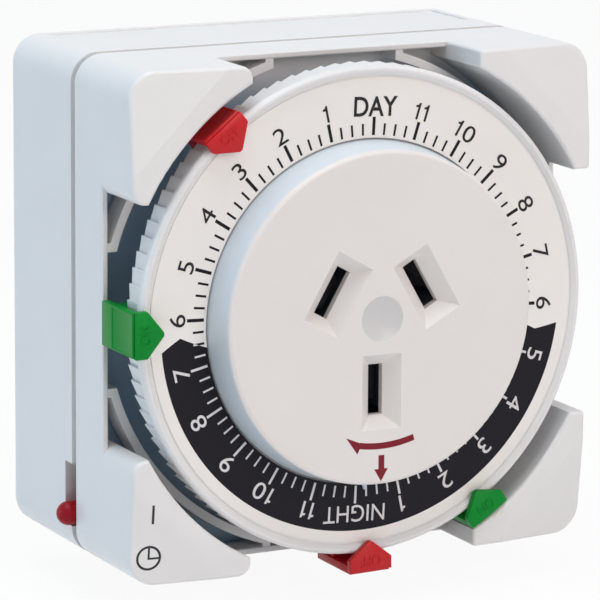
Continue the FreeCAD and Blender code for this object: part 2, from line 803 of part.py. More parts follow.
def make_active_feed():
    """From the active pin's tang round the pin base and down to the root of the switch leaf."""
    pole = poles["active"]
    near = blade_thickness / 2.0
    half = feed_half_width
    tab = pole.slab(strap_width / 2.0, near, near + strap_thickness, rear_wall + pin_flange + 1.0, feed_front)
    start_x, start_z = pole.place(0.0, near + strap_thickness + 0.9 * half)
    down_x = leaf_pivot_x - half - 0.1
    down_z = leaf_z - leaf_thickness / 2.0
    route = [(start_x, start_z), (feed_elbow_x, feed_elbow_z), (down_x, feed_turn_z), (down_x, down_z + half)]
    runs = []
    for (x0, z0), (x1, z1) in zip(route, route[1:]):
        runs.append(bar(x0, z0, x1, z1, half, feed_back, feed_front))
    anvil = block(down_x - half, leaf_pivot_x - 0.15, down_z - strap_thickness, down_z, leaf_back, leaf_front)
    riser = block(down_x - half, down_x + half, down_z - strap_thickness, down_z + half, feed_back, feed_front)
    return joined(tab, runs + [anvil, riser])


def make_load_strap():
    """From over the fixed contact tip forward to the foot under the active socket contact."""
    pole = poles["active"]
    half = strap_width / 2.0
    bar_top = fixed_strap_z + strap_thickness
    turn_z = pole.z - 2.4 * strap_width
    fixed = block(riser_x - half, leaf_end_x + 0.3, fixed_strap_z, bar_top, leaf_back, leaf_front)
    riser = block(riser_x - half, riser_x + half, fixed_strap_z, bar_top, leaf_back, strap_top)
    run = block(riser_x - half, riser_x + half, fixed_strap_z, turn_z, foot_depth, strap_top)
    over = bar(riser_x, turn_z, pole.x, pole.z, foot_half, foot_depth, strap_top)
    foot = pole.slab(strap_width / 2.0, -foot_half, foot_half, foot_depth, strap_top)
    return joined(fixed, [riser, run, over, foot])


# Dial

def saw_outline(inner, outer, count):
    """Each tooth steps out and then falls back, going counter-clockwise seen from the front."""
    points = []
    step = 360.0 / count
    for index in range(count):
        angle = dial_turn - index * step
        points.append(polar(inner, angle))
        points.append(polar(outer, angle))
    return points


def make_dial_ring():
    bore = dome_bearing_radius + dial_bore_clearance
    hub_back = floor_depth + dial_floor_clearance
    dome_seat = shoulder_depth - dial_shoulder_clearance
    label_floor = dial_face_depth - label_thickness
    knurl_front = dial_face_depth - knurl_drop
    bead_inner = dial_rim_radius - bead_width
    bead_top = dial_face_depth + bead_rise
    ridge = dial_rim_radius - bead_width / 2.0 + 0.1
    profile = [(bore, hub_back), (bore, dome_seat), (label_inner, dome_seat), (label_inner, label_floor),
               (bead_inner, label_floor), (bead_inner + 0.1, dial_face_depth),
               (ridge - bead_ridge / 2.0, bead_top), (ridge + bead_ridge / 2.0, bead_top),
               (dial_rim_radius - 0.15, bead_top - 0.25), (dial_rim_radius, bead_top - 0.55),
               (dial_rim_radius, knurl_front),
               (skirt_outer, knurl_front - 0.5), (skirt_outer, dial_back_depth),
               (skirt_inner, dial_back_depth), (skirt_inner, web_back), (hub_outer, web_back),
               (hub_outer, hub_back)]
    ring = turned(profile)
    teeth = prism(saw_outline(skirt_outer, dial_rim_radius, knurl_count), dial_back_depth, knurl_front)
    teeth = teeth.cut(rod(0, 0, skirt_outer - 0.5, dial_back_depth - 1.0, knurl_front + 1.0))
    return joined(ring, [teeth])


def make_dial_label():
    return tube(0, 0, label_inner, label_outer, dial_face_depth - label_thickness, dial_face_depth)


def tooth_ring(teeth, module, inward, phase):
    """The outline of a gear, with straight flanks. Phase is the angle of a tooth, clockwise from the top."""
    pitch_radius = teeth * module / 2.0
    outward = -1.0 if inward else 1.0
    tip = pitch_radius + outward * 0.9 * module
    root = pitch_radius - outward * 1.2 * module
    flank = math.tan(math.radians(pressure_angle))
    half = math.pi * module / 4.0 - tooth_play
    at_tip_half = half - 0.9 * module * flank
    at_root_half = half + 1.2 * module * flank
    corners = ((root, -at_root_half), (tip, -at_tip_half), (tip, at_tip_half), (root, at_root_half))
    points = []
    for index in range(teeth):
        centre = phase + 360.0 * index / teeth
        for radius, side in corners:
            points.append(polar(radius, centre + math.degrees(side / radius)))
    return points


def make_ring_gear():
    space_phase = idler_angle + 180.0 / ring_teeth
    inner = prism(tooth_ring(ring_teeth, ring_module, True, space_phase), ring_gear_back - 1.0, web_back + 1.0)
    body = rod(0, 0, skirt_inner - 0.05, ring_gear_back, web_back)
    return body.cut(inner)


def placed_gear(teeth, module, phase, x, z, back, front):
    gear = prism(tooth_ring(teeth, module, False, phase), back, front)
    gear.translate(FreeCAD.Vector(x, 0, z))
    return gear


def make_idler_gear():
    to_output = math.degrees(math.atan2(motor_offset - idler_x, motor_offset - idler_z))
    wheel = placed_gear(wheel_teeth, wheel_module, to_output, idler_x, idler_z, wheel_back,
                        wheel_back + wheel_thickness)
    pinion_back = ring_gear_back + 0.2
    pinion = placed_gear(pinion_teeth, ring_module, idler_angle, idler_x, idler_z, pinion_back, idler_front)
    sleeve_radius = pinion_teeth * ring_module / 2.0 - 1.2 * ring_module
    sleeve = rod(idler_x, idler_z, sleeve_radius, wheel_back, pinion_back + 0.5)
    body = joined(wheel, [pinion, sleeve])
    return body.cut(rod(idler_x, idler_z, idler_axle_radius + idler_bore_clearance, wheel_back - 1.0,
                        idler_front + 1.0))


def make_output_pinion():
    to_idler = math.degrees(math.atan2(idler_x - motor_offset, idler_z - motor_offset))
    phase = to_idler + 180.0 / output_teeth
    gear = placed_gear(output_teeth, wheel_module, phase, motor_offset, motor_offset, output_pinion_back,
                       output_pinion_back + output_pinion_length)
    return gear.cut(rod(motor_offset, motor_offset, output_shaft_radius + 0.02, output_pinion_back - 1.0,
                        output_pinion_back + output_pinion_length + 1.0))


# Tappets: drawn at the top of the dial, then turned to their places

def make_tappet(degrees, outside):
    width = tappet_half_width
    narrow = width - tappet_side_step
    head_back = dial_face_depth + bead_rise + tappet_head_clearance
    head_front = head_back + tappet_head_thickness
    body_back = rim_depth + tappet_back_clearance
    body_front = head_front - tappet_groove
    inner = dial_rim_radius + tappet_knurl_clearance
    shoulder = tappet_base - tappet_shoulder
    head = prism([(-width, tappet_base), (-width, shoulder), (0, shoulder - tappet_point), (width, shoulder),
                  (width, tappet_base)], head_back, head_front)
    plate = block(-narrow, narrow, inner, tappet_outer, body_back, body_front)
    waist = block(-narrow, narrow, inner, tappet_base, body_front - 0.6, head_front - 0.3)
    leg = block(-narrow + 0.3, narrow - 0.3, dial_rim_radius - tappet_leg_reach, tappet_outer, body_back,
                dial_back_depth - tappet_leg_clearance)
    tappet = joined(head, [plate, waist, leg])
    tappet.translate(FreeCAD.Vector(0, 0, outside))
    return turn_clockwise(tappet, degrees)


# Motor and drive

def make_motor_can():
    x = z = motor_offset
    can = rod(x, z, motor_radius, rear_wall, motor_front)
    can = round_edges(can, 0.5, lambda edge: all(abs(v.Y + rear_wall) < 0.001 for v in edge.Vertexes))
    return can.cut(rod(x, z, motor_radius - motor_wall, rear_wall + motor_wall, motor_front + 1.0))


def make_motor_coil():
    back = rear_wall + motor_wall
    return tube(motor_offset, motor_offset, rotor_radius + coil_rotor_gap,
                motor_radius - motor_wall - coil_clearance, back, back + coil_height)


def make_motor_rotor():
    return tube(motor_offset, motor_offset, rotor_pin_radius + shaft_clearance, rotor_radius, rotor_start,
                rotor_end)


def make_rotor_pin():
    return rod(motor_offset, motor_offset, rotor_pin_radius, rear_wall + motor_wall,
               rotor_end + rotor_pin_end)


def make_gear_plate():
    x = z = motor_offset
    plate = rod(x, z, motor_radius, motor_front, plate_front)
    arm = bar(x, z, idler_x, idler_z, plate_neck_radius, motor_front, plate_front)
    ears = []
    for ear_x, ear_z in motor_ear_centres():
        ears.append(bar(x, z, ear_x, ear_z, ear_radius, motor_front, plate_front))
    collar = rod(idler_x, idler_z, collar_radius, motor_front, plate_front + collar_height)
    plate = joined(plate, [arm, collar] + ears)
    cuts = [rod(x, z, bush_radius - bush_step + 0.05, motor_front - 1.0, plate_front + 1.0),
            rod(idler_x, idler_z, idler_axle_radius + 0.02, motor_front - 1.0,
                plate_front + collar_height + 1.0)]
    for ear_x, ear_z in motor_ear_centres():
        cuts.append(rod(ear_x, ear_z, motor_screw_radius + screw_clearance, motor_front - 1.0,
                        plate_front + 1.0))
    return cut_out(plate, cuts)


def make_output_bush():
    x = z = motor_offset
    flange = rod(x, z, bush_radius, plate_front, plate_front + bush_height)
    shank = rod(x, z, bush_radius - bush_step, motor_front, plate_front)
    bush = joined(flange, [shank])
    return bush.cut(rod(x, z, output_shaft_radius + shaft_clearance, motor_front - 1.0,
                        plate_front + bush_height + 1.0))


def make_output_shaft():
    return rod(motor_offset, motor_offset, output_shaft_radius, motor_front - output_shaft_sink,
               output_pinion_back + output_pinion_length + 0.2)


def make_idler_axle():
    return rod(idler_x, idler_z, idler_axle_radius, motor_front, idler_front + idler_web_gap * 0.4)


def screw(x, z, seat, head_radius, head_height, shank_radius, length):
    """A screw driven forward from behind: its head lies behind the seat."""
    head = rod(x, z, head_radius, seat - head_height, seat)
    head = head.cut(block(x - head_radius * 0.6, x + head_radius * 0.6, z - 0.25, z + 0.25,
                          seat - head_height - 0.1, seat - head_height * 0.5))
    head = head.cut(block(x - 0.25, x + 0.25, z - head_radius * 0.6, z + head_radius * 0.6,
                          seat - head_height - 0.1, seat - head_height * 0.5))
    return joined(head, [rod(x, z, shank_radius, seat, seat + length)])


def make_dome_screws():
    return Part.makeCompound([screw(x, z, floor_back, screw_head_radius, screw_head_height, dome_screw_radius,
                                    dome_screw_length) for x, z in dome_boss_centres()])


def make_case_screws():
    return Part.makeCompound([screw(x, z, case_ledge_depth, case_head_radius, case_head_height,
                                    case_screw_radius, case_screw_end - case_ledge_depth)
                              for x, z in boss_centres()])


def make_motor_screws():
    screws = []
    for x, z in motor_ear_centres():
        head = rod(x, z, motor_head_radius, plate_front, plate_front + motor_head_height)
        screws.append(joined(head, [rod(x, z, motor_screw_radius, rear_wall + 3.0, plate_front)]))
    return Part.makeCompound(screws)


def bent_lead(points):
    """A round insulated lead: straight runs joined by tangent arcs."""
    corners = [spot(x, z, depth) for x, z, depth in points]
    edges = []
    start = corners[0]
    for index in range(1, len(corners) - 1):
        before = (corners[index - 1] - corners[index])
        after = (corners[index + 1] - corners[index])
        shorter = min(before.Length, after.Length)
        before.normalize()
        after.normalize()
        turn = math.pi - before.getAngle(after)
        setback = 0.45 * shorter
        radius = setback / math.tan(turn / 2.0)
        entry = corners[index] + before * setback
        leave = corners[index] + after * setback
        middle = before + after
        middle.normalize()
        centre = corners[index] + middle * math.hypot(radius, setback)
        mid_point = centre - middle * radius
        edges.append(Part.LineSegment(start, entry).toShape())
        edges.append(Part.Arc(entry, mid_point, leave).toShape())
        start = leave
    edges.append(Part.LineSegment(start, corners[-1]).toShape())
    path = Part.Wire(edges)
    direction = corners[1] - corners[0]
    section = Part.Wire([Part.makeCircle(lead_radius, corners[0], direction)])
    return path.makePipeShell([section], True, False)


def make_motor_leads():
    active = poles["active"]
    neutral = poles["neutral"]
    depth = rear_wall + motor_height * 0.75
    face = blade_thickness / 2.0 + strap_thickness
    start_x, start_z = neutral.place(0.0, face)
    bend_x, bend_z = neutral.place(0.0, face + 2.6)
    reach = math.hypot(motor_offset - bend_x, motor_offset - bend_z)
    end_x = motor_offset + (bend_x - motor_offset) * motor_radius / reach
    end_z = motor_offset + (bend_z - motor_offset) * motor_radius / reach
    short = bent_lead([(start_x, start_z, depth), (bend_x, bend_z, depth), (end_x, end_z, depth)])
    top = feed_front
    from_x, from_z = active.place(0.0, face + feed_half_width)
    side_x = motor_offset - motor_radius
    longer = bent_lead([(from_x, from_z, top), (from_x, from_z, top + 3.0),
                        (from_x + 2.0, from_z + 9.0, top + 3.5),
                        (side_x - 5.0, motor_offset - 0.6, top + 1.5), (side_x, motor_offset, top)])
    can = rod(motor_offset, motor_offset, motor_radius, rear_wall, motor_front)
    return Part.makeCompound([short.cut(can), longer.cut(can)])


# Switch works

def make_trip_lever():
    back = lever_back
    front = lever_front
    half = lever_arm_half
    hub = rod(lever_x, lever_z, lever_hub_radius, back, front)
    tail = bar(lever_x, lever_z, tail_x, tail_z, half, back, front)
    arm = bar(lever_x, lever_z, follower_x, follower_z, half, back, front)
    nose = bar(lever_x, lever_z, nose_x, lever_z, half, back, front)
    line = lever_z + (tail_z - lever_z) * (lever_x - pusher_x) / (lever_x - tail_x)
    ear = bar(pusher_x, line, pusher_x, pusher_z, pusher_radius + 0.3, back, front)
    follower = rod(follower_x, follower_z, follower_radius, back, follower_tip)
    pusher = rod(pusher_x, pusher_z, pusher_radius, leaf_front - pusher_leaf_lap, back + 0.5)
    body = joined(hub, [tail, arm, nose, ear, follower, pusher])
    return body.cut(rod(lever_x, lever_z, lever_pin_radius + idler_bore_clearance, back - 1.0, front + 1.0))


def make_lever_pivot():
    head_back = lever_front + 0.3
    pin = rod(lever_x, lever_z, lever_pin_radius, rear_wall + lever_pin_root, head_back)
    return joined(pin, [rod(lever_x, lever_z, lever_pin_radius + 0.8, head_back, head_back + 0.6)])


def make_detent_spring():
    left = lever_nose_end() + detent_gap
    foot = -case_half + rear_side_wall + 1.2
    return block(left, left + detent_thickness, foot, lever_z + 4.0, lever_back - 0.6,
                 lever_front + 0.2)


def make_switch_leaf():
    half = leaf_thickness / 2.0
    return block(leaf_pivot_x, leaf_end_x, leaf_z - half, leaf_z + half, leaf_back, leaf_front)


def upright_button(z0, z1):
    centre_depth = (leaf_back + leaf_front) / 2.0
    return Part.makeCylinder(contact_tip_radius, z1 - z0, spot(contact_tip_x, z0, centre_depth),
                             FreeCAD.Vector(0, 0, 1))


def make_moving_contact_tip():
    top = leaf_z + leaf_thickness / 2.0
    return upright_button(top, top + contact_tip_height)


def make_fixed_contact_tip():
    return upright_button(fixed_strap_z - contact_tip_height, fixed_strap_z)


def make_override_slide():
    back = override_centre_depth - override_nub_radius - 1.4
    front = override_centre_depth + override_nub_radius + 1.0
    outer = -lip_inner + override_clearance
    inner = outer + override_plate
    plate = block(outer, inner, override_rest - override_nub_radius, override_arm_top + 1.1, back, front)
    shank_end = -case_half - 0.6
    nub = Part.makeCylinder(override_nub_radius, outer - shank_end + 0.2,
                            spot(outer + 0.2, override_rest, override_centre_depth), FreeCAD.Vector(-1, 0, 0))
    cap_height = override_nub_reach - 0.6
    ball = (override_nub_radius ** 2 + cap_height ** 2) / (2.0 * cap_height)
    cap = Part.makeSphere(ball, spot(shank_end - cap_height + ball, override_rest, override_centre_depth))
    reach = 2.0 * override_nub_radius
    corner = spot(shank_end - cap_height, override_rest - reach, override_centre_depth + reach)
    cap = cap.common(Part.makeBox(cap_height, 2.0 * reach, 2.0 * reach, corner))
    arm = block(inner - 0.2, override_arm_end, override_arm_top - override_arm, override_arm_top,
                lever_back - 0.2, lever_front + 0.2)
    return joined(plate, [nub, cap, arm])


def build():
    pieces = {
        "rear_case": make_rear_case(),
        "front_case": make_front_case(),
        "socket_dome": make_socket_dome(),
        "contact_carrier": make_contact_carrier(),
        "pin_base": make_pin_base(),
        "pin_sleeves": make_pin_sleeves(),
        "active_feed": make_active_feed(),
        "load_strap": make_load_strap(),
        "dial_ring": make_dial_ring(),
        "dial_label": make_dial_label(),
        "ring_gear": make_ring_gear(),
        "idler_gear": make_idler_gear(),
        "idler_axle": make_idler_axle(),
        "output_pinion": make_output_pinion(),
        "output_shaft": make_output_shaft(),
        "output_bush": make_output_bush(),
        "motor_can": make_motor_can(),
        "motor_coil": make_motor_coil(),
        "motor_rotor": make_motor_rotor(),
        "rotor_pin": make_rotor_pin(),
        "gear_plate": make_gear_plate(),
        "motor_leads": make_motor_leads(),
        "motor_screws": make_motor_screws(),
        "dome_screws": make_dome_screws(),
        "case_screws": make_case_screws(),
        "trip_lever": make_trip_lever(),
        "lever_pivot": make_lever_pivot(),
        "detent_spring": make_detent_spring(),
        "switch_leaf": make_switch_leaf(),
        "moving_contact_tip": make_moving_contact_tip(),
        "fixed_contact_tip": make_fixed_contact_tip(),
        "override_slide": make_override_slide(),
    }
    lengths = {"active": live_pin_length, "neutral": live_pin_length, "earth": earth_pin_length}
    for name, pole in poles.items():
        pieces[name + "_pin"] = make_pin(pole, lengths[name])
        pieces[name + "_contact"] = make_contact(pole)
    for name in ("neutral", "earth"):
        pieces[name + "_link"] = make_link(poles[name], rear_wall + pin_flange + 1.0)
    for name, degrees, outside in tappets:
        pieces[name] = make_tappet(degrees, outside)
    return pieces


os.makedirs("parts", exist_ok=True)
for node, shape in build().items():
    shape.exportStep("parts/" + node + ".step")
    print(node, len(shape.Solids), round(shape.Volume, 2), shape.isValid())
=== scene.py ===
# %% [markdown]
# # A plug in timer switch
#
# The object is a white moulded box that plugs into a wall outlet. A dial goes round once a day
# on its front, coloured tappets on the dial switch it on and off, and a plug goes into the
# socket in the middle. The packed solids already have the right shape and size, so this lesson
# keeps them, gives each one a finish, and models what a mould or a printing pad adds.

# %% Load the solids
import math
import bpy
from mathutils import Matrix, Vector


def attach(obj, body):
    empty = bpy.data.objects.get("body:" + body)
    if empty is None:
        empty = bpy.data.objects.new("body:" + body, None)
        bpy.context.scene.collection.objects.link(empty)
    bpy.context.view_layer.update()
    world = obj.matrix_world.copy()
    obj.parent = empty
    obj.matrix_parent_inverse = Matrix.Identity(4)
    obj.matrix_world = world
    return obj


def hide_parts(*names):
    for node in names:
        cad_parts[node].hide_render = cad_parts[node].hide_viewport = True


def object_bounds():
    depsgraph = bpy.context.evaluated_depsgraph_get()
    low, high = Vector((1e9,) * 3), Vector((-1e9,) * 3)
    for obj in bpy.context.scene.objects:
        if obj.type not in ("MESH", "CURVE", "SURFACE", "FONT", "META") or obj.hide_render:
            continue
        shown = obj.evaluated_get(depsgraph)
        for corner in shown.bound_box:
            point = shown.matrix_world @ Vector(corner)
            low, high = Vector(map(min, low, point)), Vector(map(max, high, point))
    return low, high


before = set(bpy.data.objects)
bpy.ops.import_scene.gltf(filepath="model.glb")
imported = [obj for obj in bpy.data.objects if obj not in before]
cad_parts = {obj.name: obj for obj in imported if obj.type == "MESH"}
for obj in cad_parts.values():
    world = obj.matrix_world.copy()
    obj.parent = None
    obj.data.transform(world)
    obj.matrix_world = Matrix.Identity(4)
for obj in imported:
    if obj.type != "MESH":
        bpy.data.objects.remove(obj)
solid_box = [list(corner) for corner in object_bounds()]
bpy.ops.object.select_all(action="DESELECT")
bpy.context.scene.view_settings.view_transform = "Standard"
MM = 0.001

# %% [markdown]
# ## The camera
#
# A long lens looks down at the left front corner. The lens, the distance and the angles come
# from fitting the case corners and the circles of the dial, so that the render shows the object
# as its photograph does. Turning the camera by a matrix keeps the small roll exact.

# %% Place the camera
TURN = math.radians(27.246)
TILT = math.radians(11.82)
ROLL = math.radians(0.437)
DISTANCE = 0.5647
LENS = 249.38                  # millimetres, on a sensor 36 mm wide
AIM = Vector((-0.012776, -0.045859, 0.003797))

level = Vector((math.sin(TURN), math.cos(TURN), 0.0))
forward = level * math.cos(TILT) - Vector((0.0, 0.0, math.sin(TILT)))
right = Vector((math.cos(TURN), -math.sin(TURN), 0.0))
above = right.cross(forward)
image_right = right * math.cos(ROLL) + above * math.sin(ROLL)
image_up = above * math.cos(ROLL) - right * math.sin(ROLL)

camera_data = bpy.data.cameras.new("camera")
camera_data.sensor_width = 36.0
camera_data.lens = LENS
camera_data.clip_start = 0.01
camera_data.clip_end = 20.0
camera = bpy.data.objects.new("camera", camera_data)
bpy.context.scene.collection.objects.link(camera)
camera.matrix_world = Matrix.Translation(AIM - forward * DISTANCE) @ Matrix(
    (image_right, image_up, -forward)).transposed().to_4x4()
bpy.context.scene.camera = camera
print("camera at", [round(value, 3) for value in camera.location])

# %% [markdown]
# ## Shader maths
#
# Prints and grain are worked out from the place of a point on the piece. Writing that as node
# after node is hard to read, so a small class wraps a socket and lets Python's own signs add
# the Math nodes. Colours never go through Math nodes, because those turn a colour grey.

# %% A socket that can be used in a sum
class Wire:
    """A node's output that can be added, multiplied and compared like a number."""

    def __init__(self, finish, socket):
        self.finish = finish
        self.socket = socket

    def maths(self, operation, first, second=0.0, clamp=False):
        settings = {"operation": operation, "use_clamp": clamp}
        return self.finish.node("ShaderNodeMath", settings, {0: first, 1: second})

    def __add__(self, other):
        return self.maths("ADD", self, other)

    __radd__ = __add__

    def __sub__(self, other):
        return self.maths("SUBTRACT", self, other)

    def __rsub__(self, other):
        return self.maths("SUBTRACT", other, self)

    def __mul__(self, other):
        return self.maths("MULTIPLY", self, other)

    __rmul__ = __mul__

    def __truediv__(self, other):
        return self.maths("DIVIDE", self, other)

    def __rtruediv__(self, other):
        return self.maths("DIVIDE", other, self)

    def __neg__(self):
        return self.maths("MULTIPLY", self, -1.0)

    def __abs__(self):
        return self.maths("ABSOLUTE", self)

    def __or__(self, other):
        return self.maths("MAXIMUM", self, other)

    __ror__ = __or__

    def fraction(self):
        return self.maths("FRACT", self)

    def root(self):
        return self.maths("SQRT", self)

    def below(self, edge, blur=0.00003):
        """1 where this is below the edge and 0 above it, with a soft step of that width."""
        return self.maths("ADD", (edge - self) / blur, 0.5, clamp=True)

    def beyond(self, edge, blur=0.00003):
        """1 where this is above the edge and 0 below it."""
        return self.maths("ADD", (self - edge) / blur, 0.5, clamp=True)


print("a wire can:", ", ".join(name for name in vars(Wire) if not name.startswith("_")))

# %% A material that makes its own nodes
class Finish:
    """A material, or the sky, being put together: it makes nodes, and ends in one shader."""

    def __init__(self, name, kept_in=None):
        self.material = kept_in or bpy.data.materials.new(name)
        self.material.use_nodes = True
        self.tree = self.material.node_tree
        self.tree.nodes.clear()

    def node(self, kind, settings=None, inputs=None, output=0):
        made = self.tree.nodes.new(kind)
        for name, value in (settings or {}).items():
            setattr(made, name, value)
        for name, value in (inputs or {}).items():
            if isinstance(value, Wire):
                self.tree.links.new(value.socket, made.inputs[name])
            else:
                made.inputs[name].default_value = value
        return None if output is None else Wire(self, made.outputs[output])

    def place(self):
        """The point's place in the object's own frame, as three numbers and as one vector."""
        coordinates = self.node("ShaderNodeTexCoord", output="Object")
        parts = self.node("ShaderNodeSeparateXYZ", inputs={0: coordinates})
        outputs = parts.socket.node.outputs
        return [Wire(self, outputs[index]) for index in range(3)] + [coordinates]

    def noise(self, vector, scale, detail=2.0):
        inputs = {"Vector": vector, "Scale": scale, "Detail": detail}
        return self.node("ShaderNodeTexNoise", {"noise_dimensions": "3D"}, inputs, "Fac")

    def mix(self, share, first, second):
        """Blend two colours."""
        inputs = {0: share, 6: first, 7: second}
        return self.node("ShaderNodeMix", {"data_type": "RGBA"}, inputs, 2)

    def bump(self, height, distance, strength):
        inputs = {"Height": height, "Distance": distance, "Strength": strength}
        return self.node("ShaderNodeBump", inputs=inputs)

    def surface(self, **inputs):
        """End in one plastic or metal surface. Its inputs are named as on the node."""
        named = {name.replace("_", " "): value for name, value in inputs.items()}
        shader = self.node("ShaderNodeBsdfPrincipled", inputs=named)
        self.node("ShaderNodeOutputMaterial", inputs={"Surface": shader}, output=None)
        return self.material


print("a finish can:", ", ".join(name for name in vars(Finish) if not name.startswith("_")))

# %% [markdown]
# ## The studio
#
# The object floats over a plain pale floor with a white backdrop. Rays from the camera, and those
# that a glossy or clear surface sends on, see the floor and the sky as plain white, so the lamps
# can stay at a level where a colour renders about as it is written. The lamp above is a little
# cool, the one in front a little warm, and a bluish one stands behind the left side, so that it
# grazes the side of the box and leaves the side of the dome in shade. The floor lies a little
# below the object, because one tappet slides out of the underside.

# %% A floor and a sky that look white
FLOOR_GAP = 4.5 * MM           # room for the lowest tappet when it is pulled out
FLOOR_WHITE = 0.93             # how much of the white backdrop a looking ray sees on the floor
floor_height = solid_box[0][2] - FLOOR_GAP


def looked_at(finish):
    """1 for a ray that should see the plain white background."""
    path = finish.node("ShaderNodeLightPath", output="Is Camera Ray")
    outputs = path.socket.node.outputs
    for name in ("Is Glossy Ray", "Is Transmission Ray"):
        path = path | Wire(finish, outputs[name])
    return path


def floor_finish():
    finish = Finish("floor_white")
    seen = looked_at(finish)
    plain = finish.node("ShaderNodeBsdfDiffuse", inputs={"Color": (0.9, 0.9, 0.9, 1.0)})
    white = finish.node("ShaderNodeEmission", inputs={"Color": (1, 1, 1, 1), "Strength": 1.0})
    mixed = finish.node("ShaderNodeMixShader", inputs={0: seen * FLOOR_WHITE, 1: plain, 2: white})
    finish.node("ShaderNodeOutputMaterial", inputs={"Surface": mixed}, output=None)
    return finish.material


bpy.ops.mesh.primitive_plane_add(size=6.0, location=(0.0, 0.0, floor_height))
floor = bpy.context.object
floor.name = "studio_floor"
floor.data.materials.append(floor_finish())
print("floor at z =", round(floor_height, 4))

# %% Lamps
SKY_LIGHT = 0.21
LAMP_TARGET = Vector((0.0, -0.02, 0.0))
world = bpy.data.worlds.new("studio")
bpy.context.scene.world = world
sky = Finish("sky", kept_in=world)
dim = {"Color": (0.82, 0.91, 1.0, 1.0), "Strength": SKY_LIGHT}
lit = sky.node("ShaderNodeBackground", inputs=dim)
shown = sky.node("ShaderNodeBackground", inputs={"Color": (1, 1, 1, 1), "Strength": 1.0})
chosen = sky.node("ShaderNodeMixShader", inputs={0: looked_at(sky), 1: lit, 2: shown})
sky.node("ShaderNodeOutputWorld", inputs={"Surface": chosen}, output=None)


def softbox(name, place, size, power, colour):
    """A square lamp at a place, facing the middle of the object."""
    lamp_data = bpy.data.lights.new(name, "AREA")
    lamp_data.size = size
    lamp_data.energy = power
    lamp_data.color = colour
    lamp = bpy.data.objects.new(name, lamp_data)
    bpy.context.scene.collection.objects.link(lamp)
    lamp.location = place
    toward = LAMP_TARGET - Vector(place)
    lamp.rotation_euler = toward.to_track_quat("-Z", "Y").to_euler()
    return lamp


softbox("top_light", (-0.12, -0.12, 0.80), 0.6, 5.0, (0.89, 0.95, 1.0))
softbox("front_light", (0.20, -0.88, 0.42), 0.5, 3.7, (1.0, 0.865, 0.81))
softbox("left_light", (-0.85, 0.22, 0.14), 0.45, 2.2, (0.50, 0.75, 1.0))

# %% [markdown]
# ## Moulded plastic
#
# The case and the dome are smooth white plastic with a very fine texture from the mould, and a
# few dark specks of dirt. A bump from fine noise gives the texture and stops highlights from
# looking like glass. The specks come from a cell pattern that is only dark near a cell's heart.

# %% White plastic
GRAIN = 0.004 * MM             # height of the texture that the mould leaves


def specks(finish, vector, scale, size):
    """1 on rare small dots."""
    inputs = {"Vector": vector, "Scale": scale}
    cells = finish.node("ShaderNodeTexVoronoi", inputs=inputs, output="Distance")
    colour = Wire(finish, cells.socket.node.outputs["Color"])
    chance = finish.node("ShaderNodeSeparateColor", inputs={0: colour})
    return cells.below(size, 0.02) * chance.beyond(0.93, 0.01)


def moulded(name, colour, roughness=0.36, dirt=0.35):
    """Moulded plastic, part way: the finish, the place, and the colour, gloss and relief wires."""
    finish = Finish(name)
    place = finish.place()
    vector = place[3]
    cloudy = finish.noise(vector, 60.0, 3.0)
    darker = tuple(channel * 0.965 for channel in colour[:3]) + (1.0,)
    base = finish.mix(cloudy.beyond(0.5, 0.5), darker, colour)
    spots = specks(finish, vector, 190.0, 0.05) * dirt
    base = finish.mix(spots, base, (0.10, 0.09, 0.08, 1.0))
    fine = finish.noise(vector, 2600.0, 2.0)
    wear = finish.noise(vector, 210.0, 3.0)
    gloss = roughness + (wear - 0.5) * 0.10
    height = finish.bump(fine, GRAIN, 0.6)
    return finish, place, base, gloss, height


def plain_moulded(name, colour, shine=0.5, **choices):
    """Moulded plastic with nothing printed on it. Shine sets how much its skin reflects."""
    finish, _, base, gloss, height = moulded(name, colour, **choices)
    return finish.surface(Base_Color=base, Roughness=gloss, Normal=height, Specular_IOR_Level=shine)


WHITE = (0.80, 0.79, 0.78, 1.0)
white_plastic = plain_moulded("white_plastic", WHITE)
print("white plastic ready")

# %% [markdown]
# ## Metal parts
#
# Brass blades and contacts, and plated steel screws, are inside or on the back. Their roughness
# changes a little along them, as drawn and handled metal does.

# %% Brass, steel and the rest
def metal(name, colour, roughness, scale):
    finish = Finish(name)
    vector = finish.place()[3]
    stretched = finish.node("ShaderNodeMapping", inputs={"Vector": vector, "Scale": scale})
    drawn = finish.noise(stretched, 900.0, 3.0)
    dark = tuple(channel * 0.8 for channel in colour[:3]) + (1.0,)
    base = finish.mix(drawn.beyond(0.5, 0.6), dark, colour)
    gloss = roughness + (drawn - 0.5) * 0.18
    lines = finish.bump(drawn, GRAIN, 0.5)
    return finish.surface(Base_Color=base, Roughness=gloss, Metallic=1.0, Normal=lines)


brass = metal("brass", (0.76, 0.56, 0.27, 1.0), 0.30, (1.0, 0.08, 1.0))
tinned = metal("tinned_bronze", (0.22, 0.22, 0.24, 1.0), 0.42, (1.0, 0.08, 1.0))
steel = metal("plated_steel", (0.60, 0.61, 0.63, 1.0), 0.32, (1.0, 0.3, 1.0))
silver = metal("contact_silver", (0.80, 0.80, 0.78, 1.0), 0.25, (1.0, 1.0, 1.0))
inner_plastic = plain_moulded("inner_plastic", (0.12, 0.14, 0.17, 1.0), roughness=0.5)
sleeve_plastic = plain_moulded("sleeve_plastic", (0.02, 0.02, 0.022, 1.0), roughness=0.4)
gear_plastic = plain_moulded("gear_plastic", (0.74, 0.73, 0.68, 1.0), roughness=0.38)
coil_tape = plain_moulded("coil_tape", (0.42, 0.13, 0.03, 1.0), roughness=0.35)
magnet_black = plain_moulded("magnet_black", (0.05, 0.05, 0.055, 1.0), roughness=0.6)
lead_blue = plain_moulded("lead_blue", (0.03, 0.08, 0.30, 1.0), roughness=0.45)
